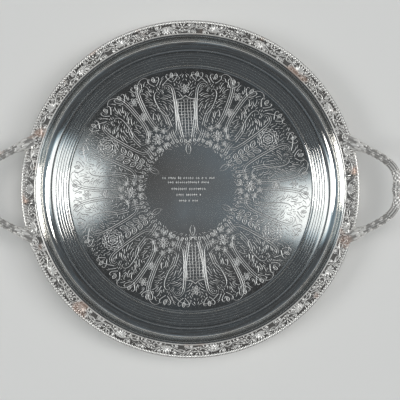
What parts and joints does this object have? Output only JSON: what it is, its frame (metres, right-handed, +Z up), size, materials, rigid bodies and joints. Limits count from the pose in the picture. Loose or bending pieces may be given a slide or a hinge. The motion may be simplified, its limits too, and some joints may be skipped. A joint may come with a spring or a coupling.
{
  "type": "silver salver",
  "caption": "Round silver-plated salver with a chased well, a cast floral border, two looped handles and four small scroll feet.",
  "frame": {"origin": "middle of the tray, on the plane that the feet stand on", "axes": "+X through the right-hand handle, +Z up out of the well"},
  "size_m": [0.4438, 0.3556, 0.0476],
  "materials": {
    "polished_sheet": "polished",
    "cast_border": "gloss",
    "cast_handle": "gloss",
    "cast_foot": "gloss",
    "plain_underside": "satin"
  },
  "bodies": {
    "root": {"tray_body": "polished_sheet", "rim_wire": "polished_sheet", "border_section_01": "cast_border", "border_section_02": "cast_border", "border_section_03": "cast_border", "border_section_04": "cast_border", "border_section_05": "cast_border", "border_section_06": "cast_border", "border_section_07": "cast_border", "border_section_08": "cast_border", "border_section_09": "cast_border", "border_section_10": "cast_border", "border_shell_right": "cast_border", "border_shell_left": "cast_border", "handle_right": "cast_handle", "handle_left": "cast_handle", "foot_1": "cast_foot", "foot_2": "cast_foot", "foot_3": "cast_foot", "foot_4": "cast_foot", "foot_patch_1": "plain_underside", "foot_patch_2": "plain_underside", "foot_patch_3": "plain_underside", "foot_patch_4": "plain_underside"}
  },
  "joints": []
}
